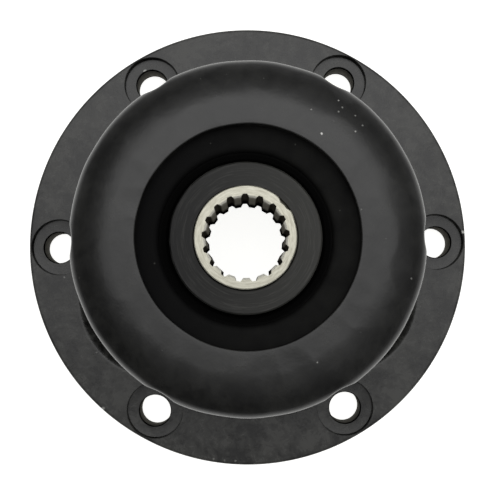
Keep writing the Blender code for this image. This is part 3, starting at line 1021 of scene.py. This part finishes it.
    def surface(self) -> np.ndarray:
        """The turned casting, drawn in at the sockets, sunk at the pockets and as cast slightly uneven.

        On the bowl a point's radius is the softened lesser of its own and its ray's reach to a socket,
        plus the skin's waves. A pocket's drop is taken off the flange's top, and off the root fillet in
        the share by which it has come down to the flange.

        Returns:
            A closed grid of points.
        """
        bowl = turned(self.bowl_path(), self.steps)
        angle = np.arange(self.steps) * (TURN / self.steps)
        radius = np.hypot(bowl[..., 0], bowl[..., 1])
        drawn = soft_least(radius, self.socket_reach(angle)[None, :], self.socket_round)
        skin = waves(bowl, self.skin_length, self.skin_seed) * self.skin_height
        bowl[..., :2] *= ((drawn + skin) / radius)[..., None]
        bowl[..., 2] -= np.abs(skin) * (bowl[..., 2] > self.rim_height)
        top = self.flange_thickness
        foot = np.clip(1.0 - (bowl[..., 2] - top) / self.root_fillet, 0.0, 1.0)
        bowl[..., 2] -= foot * self.pocket_drop(np.hypot(bowl[..., 0], bowl[..., 1]), angle)
        rest = turned(joined(self.flange_path()[1:], self.cavity_path()), self.steps)
        level = np.abs(rest[..., 2] - top) < TOUCH
        rest[..., 2] -= level * self.pocket_drop(np.hypot(rest[..., 0], rest[..., 1]), angle)
        return np.vstack((bowl, rest))

    def bolt_cutters(self) -> list[np.ndarray]:
        """One turned tool for each bolt: spot face with a tool-nose round, chamfer, hole, back chamfer.

        The hole's axis lies a little further out than the spot face's.

        Returns:
            The tools' grids.
        """
        floor = self.flange_thickness - self.spot_depth
        nose = (self.spot_radius - self.spot_nose, floor + self.spot_nose)
        spot = joined(
            line((self.spot_radius, self.flange_thickness + OVERRUN), (self.spot_radius, nose[1]), 1),
            arc(nose, self.spot_nose, 0.0, -90.0, 5),
        )
        exit_radius = self.hole_radius + self.hole_exit + OVERRUN
        hole = joined(
            np.array(((self.hole_radius + self.hole_chamfer, floor),)),
            line((self.hole_radius, floor - self.hole_chamfer), (self.hole_radius, self.hole_exit), 1),
            np.array(((exit_radius, -OVERRUN),)),
        )
        drifted = turned(hole, self.cutter_steps) + (self.hole_drift, 0.0, 0.0)
        tool = np.vstack((turned(spot, self.cutter_steps), drifted)) + (self.bolt_radius, 0.0, 0.0)
        pitch = TURN / self.bolt_count
        return [spun(tool, self.bolt_turn + index * pitch) for index in range(self.bolt_count)]

    def bored_faces(self, mesh: bpy.types.Mesh) -> np.ndarray:
        """Finds the faces of the bolt holes: close to a bolt's axis and below the spot face.

        Args:
            mesh: the finished casting.

        Returns:
            1 for each such face and 0 for the others.
        """
        centres = np.empty(len(mesh.polygons) * 3, dtype=np.float32)
        mesh.polygons.foreach_get("center", centres)
        x, y, z = centres.reshape(-1, 3).T
        angles = self.bolt_turn + np.arange(self.bolt_count) * (TURN / self.bolt_count)
        reach = self.bolt_radius + self.hole_drift
        gaps = np.hypot(x[:, None] - reach * np.cos(angles), y[:, None] - reach * np.sin(angles))
        below = z < self.flange_thickness - self.spot_depth - self.bore_margin
        return ((gaps.min(axis=1) < self.bore_reach) & below & (z > self.bore_margin)).astype(np.int32)

    def build(self, paint: SatinPaint, bore_paint: BoreWallPaintedLight) -> bpy.types.Object:
        """Turns the casting, cuts its holes and paints it.

        Args:
            paint: its paint.
            bore_paint: what the holes' walls have instead: matt, with painted light.

        Returns:
            The finished piece.
        """
        piece = add_mesh("painted_casting", [self.surface()], closed=True)
        cutter = add_mesh("casting_cutter", self.bolt_cutters(), closed=False)
        boolean = piece.modifiers.new("holes", "BOOLEAN")
        boolean.operation = "DIFFERENCE"
        boolean.solver = "EXACT"
        boolean.object = cutter
        graph = bpy.context.evaluated_depsgraph_get()
        cut = bpy.data.meshes.new_from_object(piece.evaluated_get(graph))
        piece.modifiers.clear()
        piece.data = cut
        bpy.data.objects.remove(cutter)
        cut.shade_smooth()
        cut.set_sharp_from_angle(angle=math.radians(SHARP_ANGLE))
        stand_in(piece, Node.HOUSING, Slot.CASTING, paint.build(), bore_paint.build())
        cut.polygons.foreach_set("material_index", self.bored_faces(cut))
        return piece


@dataclass
class RubberRing:
    """The moulded rubber ring that is bonded into the bowl and round the hub."""

    hub_radius: float = 25.3 * MM
    flare: float = 5.0 * MM
    collar_foot: float = 48.8 * MM
    face: float = 55.1 * MM
    foot_height: float = 50.6 * MM
    ridge_offset: float = 2.6 * MM
    ridge_height: float = 0.5 * MM
    crease_offset: float = 3.6 * MM
    crease_depth: float = 2.0 * MM
    shoulder: float = 2.8 * MM
    outer_radius: float = 53.27 * MM
    corner: float = 4.7 * MM
    rear: float = 25.4 * MM
    rear_radius: float = 54.06 * MM
    rear_inner: float = 30.3 * MM
    hollow: float = 4.0 * MM
    gap: float = 0.3 * MM
    follow_from: float = 31.0 * MM
    follow_to: float = 37.0 * MM
    steps: int = 288

    def path(self) -> np.ndarray:
        """The ring's section: ridge, crease and shoulder in front, a parabolic hollow behind.

        The shoulder swells from the crease as a quarter ellipse. A share s of the way across the back,
        the hollow lies 4 h s (1 - s) above the straight line, for a depth h.

        Returns:
            Points of radius and height, clockwise from the foot at the hub.
        """
        inner = self.hub_radius + self.gap
        crease = (self.hub_radius + self.crease_offset, self.face - self.crease_depth)
        ridge = (self.hub_radius + self.ridge_offset, crease[1] + self.ridge_height / 2)
        rise = ((inner + ridge[0]) / 2, ridge[1] - self.ridge_height / 4)
        corner = (self.outer_radius - self.corner, self.face - self.corner)
        t = np.radians(np.linspace(0.0, 90.0, 13))
        swell = np.column_stack((self.shoulder * (1.0 - np.cos(t)), self.crease_depth * np.sin(t))) + crease
        share = np.linspace(0.0, 1.0, 17)[:, None]
        wide = inner + self.flare
        rise_inwards = (wide - self.rear_radius, self.rear_inner - self.rear)
        back = (self.rear_radius, self.rear) + share * rise_inwards
        back[:, 1:] += self.hollow * 4.0 * share * (1.0 - share)
        return joined(
            np.array(((inner, self.foot_height), rise, ridge)),
            swell,
            line(tuple(swell[-1]), (corner[0], self.face), 12),
            arc(corner, self.corner, 90.0, 0.0, 8),
            back,
            np.array(((wide, self.collar_foot - self.flare), (inner, self.collar_foot))),
        )

    def build(self, finish: MouldedRubber) -> bpy.types.Object:
        """Turns the ring, draws its inner part after the hub and gives it its finish.

        Args:
            finish: its rubber.

        Returns:
            The finished piece.
        """
        grid = turned(self.path(), self.steps)
        radius = np.hypot(grid[..., :1], grid[..., 1:2])
        share = np.clip((self.follow_to - radius) / (self.follow_to - self.follow_from), 0.0, 1.0)
        piece = add_mesh("bonded_rubber_ring", [grid + share * HUB_CENTRE], closed=True)
        stand_in(piece, Node.RUBBER, Slot.RUBBER, finish.build())
        return piece


@dataclass
class DriveHub:
    """The steel hub: a collar in front, flared inside the rubber, bored for the sleeve."""

    radius: float = 25.3 * MM
    bore: float = 17.3 * MM
    seat: float = 16.8 * MM
    seat_depth: float = 6.0 * MM
    face: float = 57.8 * MM
    edge: float = 0.5 * MM
    collar: float = 9.0 * MM
    flare: float = 5.0 * MM
    rear_round: float = 3.0 * MM
    rear: float = 27.8 * MM
    bore_edge: float = 0.25 * MM
    steps: int = 240

    def build(self, finish: BlackenedSteel) -> bpy.types.Object:
        """Turns the hub and gives it its finish. Its bore grips the sleeve between its relieved ends.

        Args:
            finish: its steel.

        Returns:
            The finished piece.
        """
        wide = self.radius + self.flare
        corner = (wide - self.rear_round, self.rear + self.rear_round)
        seat = line((self.seat, self.rear + self.seat_depth), (self.seat, self.face - self.seat_depth), 1)
        path = joined(
            np.array(((self.bore, self.face - self.bore_edge),)),
            line((self.bore + self.bore_edge, self.face), (self.radius - self.edge, self.face), 6),
            line((self.radius, self.face - self.edge), (self.radius, self.face - self.collar), 3),
            line((wide, self.face - self.collar - self.flare), (wide, corner[1]), 3),
            arc(corner, self.rear_round, 0.0, -90.0, 8),
            line((corner[0], self.rear), (self.bore, self.rear), 4),
            line((self.bore, self.rear + self.seat_depth), tuple(seat[0]), 1),
            seat,
            np.array(((self.bore, self.face - self.seat_depth),)),
        )
        piece = add_mesh("drive_hub", [turned(path, self.steps) + HUB_CENTRE], closed=True)
        stand_in(piece, Node.HUB, Slot.HUB, finish.build())
        return piece


@dataclass
class SplinedSleeve:
    """The bare steel sleeve with its broached involute spline."""

    teeth: int = 17
    module: float = 1.5875 * MM
    pressure_angle: float = math.radians(30.0)
    turn: float = math.radians(6.2)
    lead_width: float = 0.7 * MM
    lead_depth: float = 1.2 * MM
    exit_chamfer: float = 0.8 * MM
    bore_drop: float = 0.05 * MM
    land_wear: float = 0.45 * MM
    root_wear: float = 0.15 * MM
    radius: float = 16.9875 * MM
    edge: float = 0.3 * MM
    face: float = 60.8 * MM
    rear: float = 26.8 * MM
    # The bore's rings between its chamfer and its lead-in: the first one's height, and how many
    bore_rings: tuple[float, int] = (30.0 * MM, 6)
    # Where the front edge is knocked in or out: angles in degrees, and how far out it lies there in mm
    dents: tuple[tuple[float, float], ...] = (
        (0.0, -0.2),
        (18.0, -0.15),
        (28.0, 0.2),
        (31.0, 0.1),
        (35.0, -0.45),
        (40.0, -0.4),
        (45.0, -0.62),
        (51.0, 0.1),
        (80.0, 0.15),
        (120.0, -0.05),
        (324.0, -0.05),
        (332.0, -0.35),
        (345.0, -0.2),
        (360.0, -0.2),
    )
    dent_depth: float = 1.6 * MM
    steps_per_tooth: int = 36

    @property
    def pitch_radius(self) -> float:
        """The spline's pitch radius."""
        return self.module * self.teeth / 2

    @property
    def root_radius(self) -> float:
        """The radius over the grooves, a little worn."""
        return self.module * (self.teeth + 1) / 2 + self.root_wear

    @property
    def land_radius(self) -> float:
        """The radius over the lands, a little worn."""
        return self.module * (self.teeth - 1) / 2 + self.land_wear

    def groove_half_angle(self, radius: np.ndarray) -> np.ndarray:
        """Half the angle that a groove spans: pi / 2z + inv(30 deg) - inv(p), with cos p = base / r.

        Args:
            radius: radii on the flank.

        Returns:
            The half angle at each radius.
        """
        base = self.pitch_radius * math.cos(self.pressure_angle)
        pressure = np.arccos(base / radius)
        start = math.tan(self.pressure_angle) - self.pressure_angle
        return math.pi / (2 * self.teeth) + start - (np.tan(pressure) - pressure)

    def bore_radius(self, angle: np.ndarray) -> np.ndarray:
        """The broached bore: the root inside a groove, the land outside it, the involute between.

        Args:
            angle: angles about the axis.

        Returns:
            The bore's radius at each angle.
        """
        pitch = TURN / self.teeth
        off = np.abs((angle - self.turn + pitch / 2) % pitch - pitch / 2)
        flank = np.linspace(self.land_radius, self.root_radius, 40)
        half = self.groove_half_angle(flank)
        return np.interp(off, half[::-1], flank[::-1])

    def build(self, finish: BroachedSteel) -> bpy.types.Object:
        """Carries the bore's outline along the axis, closes it round the turned outside, and finishes it.

        Each ring is (r cos a, r sin a, z). In the lead-in and the rear chamfer r is the greater of the
        bore's radius and the cone's, and on the front edge it is the outside's plus the dents.

        Args:
            finish: its steel.

        Returns:
            The finished piece.
        """
        steps = self.teeth * self.steps_per_tooth
        angle = np.arange(steps) * (TURN / steps)
        bore = self.bore_radius(angle)
        first, count = self.bore_rings
        inner = np.linspace(first, self.face - self.lead_depth, count)
        rings = [(bore, z) for z in (self.rear + self.exit_chamfer, *inner)]
        for share in (0.25, 0.5, 0.75, 1.0):
            cone = self.land_radius + self.lead_width * share
            rings.append((np.maximum(bore, cone), self.face - self.lead_depth * (1.0 - share)))
        places, depths = np.array(self.dents).T
        dented = self.radius + np.interp(np.degrees(angle), places, depths * MM)
        rings += [(dented - self.edge, self.face), (dented, self.face - self.edge)]
        full = np.full(steps, self.radius)
        rings += [(full, self.face - self.dent_depth), (full, self.rear + self.edge)]
        rings.append((full - self.edge, self.rear))
        rings.append((np.maximum(bore, self.land_radius + self.exit_chamfer), self.rear))
        radii, heights = np.array([r for r, _ in rings]), np.array([z for _, z in rings])
        across, along = radii * np.cos(angle), radii * np.sin(angle)
        grid = np.stack((across, along, np.broadcast_to(heights[:, None], radii.shape)), axis=-1)
        radius = np.hypot(grid[..., 0], grid[..., 1])
        grid[..., 1] -= self.bore_drop * (radius < (self.root_radius + self.radius) / 2)
        piece = add_mesh("splined_sleeve", [grid + HUB_CENTRE], closed=True)
        stand_in(piece, Node.SLEEVE, Slot.SLEEVE, finish.build())
        return piece


@dataclass
class Studio:
    """The photograph's view, an opal table and soft light from above."""

    photo_size: float = 495.0
    focal_pixels: float = 895.6
    camera_place: tuple[float, float, float] = (-1.16 * MM, -19.08 * MM, 351.76 * MM)
    camera_tilt: tuple[float, float, float] = (3.037, -0.184, -0.031)
    sensor: float = 36.0
    clip: tuple[float, float] = (0.01, 20.0)
    floor_drop: float = 0.3 * MM
    floor_half: float = 2.5
    # Softboxes: where they hang, their width and depth, and their radiance
    softboxes: tuple[tuple[tuple[float, ...], tuple[float, float], float], ...] = (
        ((0.0, 0.4, 2.4), (2.05, 1.34), 0.82),
        ((0.0, 0.55, 2.3), (1.05, 0.7), 0.65),
    )
    # The room's light by the sine of the height above the horizon
    room: tuple[tuple[float, float], ...] = (
        (0.0, 1.0),
        (0.35, 0.8),
        (0.5, 0.35),
        (0.62, 0.12),
        (0.8, 0.34),
        (0.92, 0.6),
        (1.0, 0.6),
    )
    room_lean: tuple[float, float, float] = (0.7, 0.85, 0.0)

    def add_camera(self) -> None:
        """Puts the camera where the photograph was taken."""
        data = bpy.data.cameras.new("camera")
        data.sensor_width = self.sensor
        data.lens = self.focal_pixels * self.sensor / self.photo_size
        data.clip_start, data.clip_end = self.clip
        camera = bpy.data.objects.new("camera", data)
        camera.location = self.camera_place
        camera.rotation_euler = [math.radians(angle) for angle in self.camera_tilt]
        bpy.context.scene.collection.objects.link(camera)
        bpy.context.scene.camera = camera

    def add_floor(self) -> None:
        """Lays the opal table just under the part."""
        half = self.floor_half
        mesh = bpy.data.meshes.new("table")
        corners = [(x * half, y * half, -self.floor_drop) for x, y in ((-1, -1), (1, -1), (1, 1), (-1, 1))]
        mesh.from_pydata(corners, [], [(0, 1, 2, 3)])
        mesh.materials.append(OpalFloor().build())
        table = bpy.data.objects.new("table", mesh)
        bpy.context.scene.collection.objects.link(table)

    def add_softboxes(self) -> None:
        """Hangs the softboxes over the part, level, brighter beyond its far side."""
        for place, (width, depth), radiance in self.softboxes:
            data = bpy.data.lights.new("softbox", "AREA")
            data.shape = "RECTANGLE"
            data.size = width
            data.size_y = depth
            data.energy = radiance * math.pi * width * depth
            softbox = bpy.data.objects.new("softbox", data)
            softbox.location = place
            bpy.context.scene.collection.objects.link(softbox)

    def add_room(self) -> None:
        """Sets the room's light: pale at the horizon, dim overhead and dimmest high on the near left."""
        world = bpy.data.worlds.new("room")
        world.use_nodes = True
        tree = world.node_tree
        tree.nodes.clear()
        direction = add_node(tree, "TexCoord", {}, "Generated")
        height = add_node(tree, "SeparateXYZ", {0: direction}, "Z")
        ramp = add_node(tree, "ValToRGB", {0: height})
        ramp.node.color_ramp.interpolation = "EASE"
        elements = ramp.node.color_ramp.elements
        while len(elements) < len(self.room):
            elements.new(0.5)
        for element, (position, value) in zip(elements, self.room):
            element.position = position
            element.color = (value, value, value, 1.0)
        inputs = {0: direction, 1: self.room_lean}
        lean = add_node(tree, "VectorMath", inputs, "Value", operation="DOT_PRODUCT")
        strength = add_node(tree, "Math", {0: height, 1: lean, 2: 1.0}, operation="MULTIPLY_ADD")
        background = add_node(tree, "Background", {0: ramp, 1: strength})
        add_node(tree, "OutputWorld", {0: background})
        bpy.context.scene.world = world

    def build(self) -> None:
        """Sets up the camera, the floor, the light and a plain view transform."""
        self.add_camera()
        self.add_floor()
        self.add_softboxes()
        self.add_room()
        bpy.context.scene.view_settings.view_transform = "Standard"


def main() -> None:
    """Builds the sub-assemblies in order and reports each piece."""
    logging.basicConfig(level=logging.INFO, format="%(name)s: %(message)s")
    Studio().build()
    Casting().build(SatinPaint(), BoreWallPaintedLight())
    RubberRing().build(MouldedRubber())
    DriveHub().build(BlackenedSteel())
    SplinedSleeve().build(BroachedSteel())


if __name__ == "__main__":
    main()
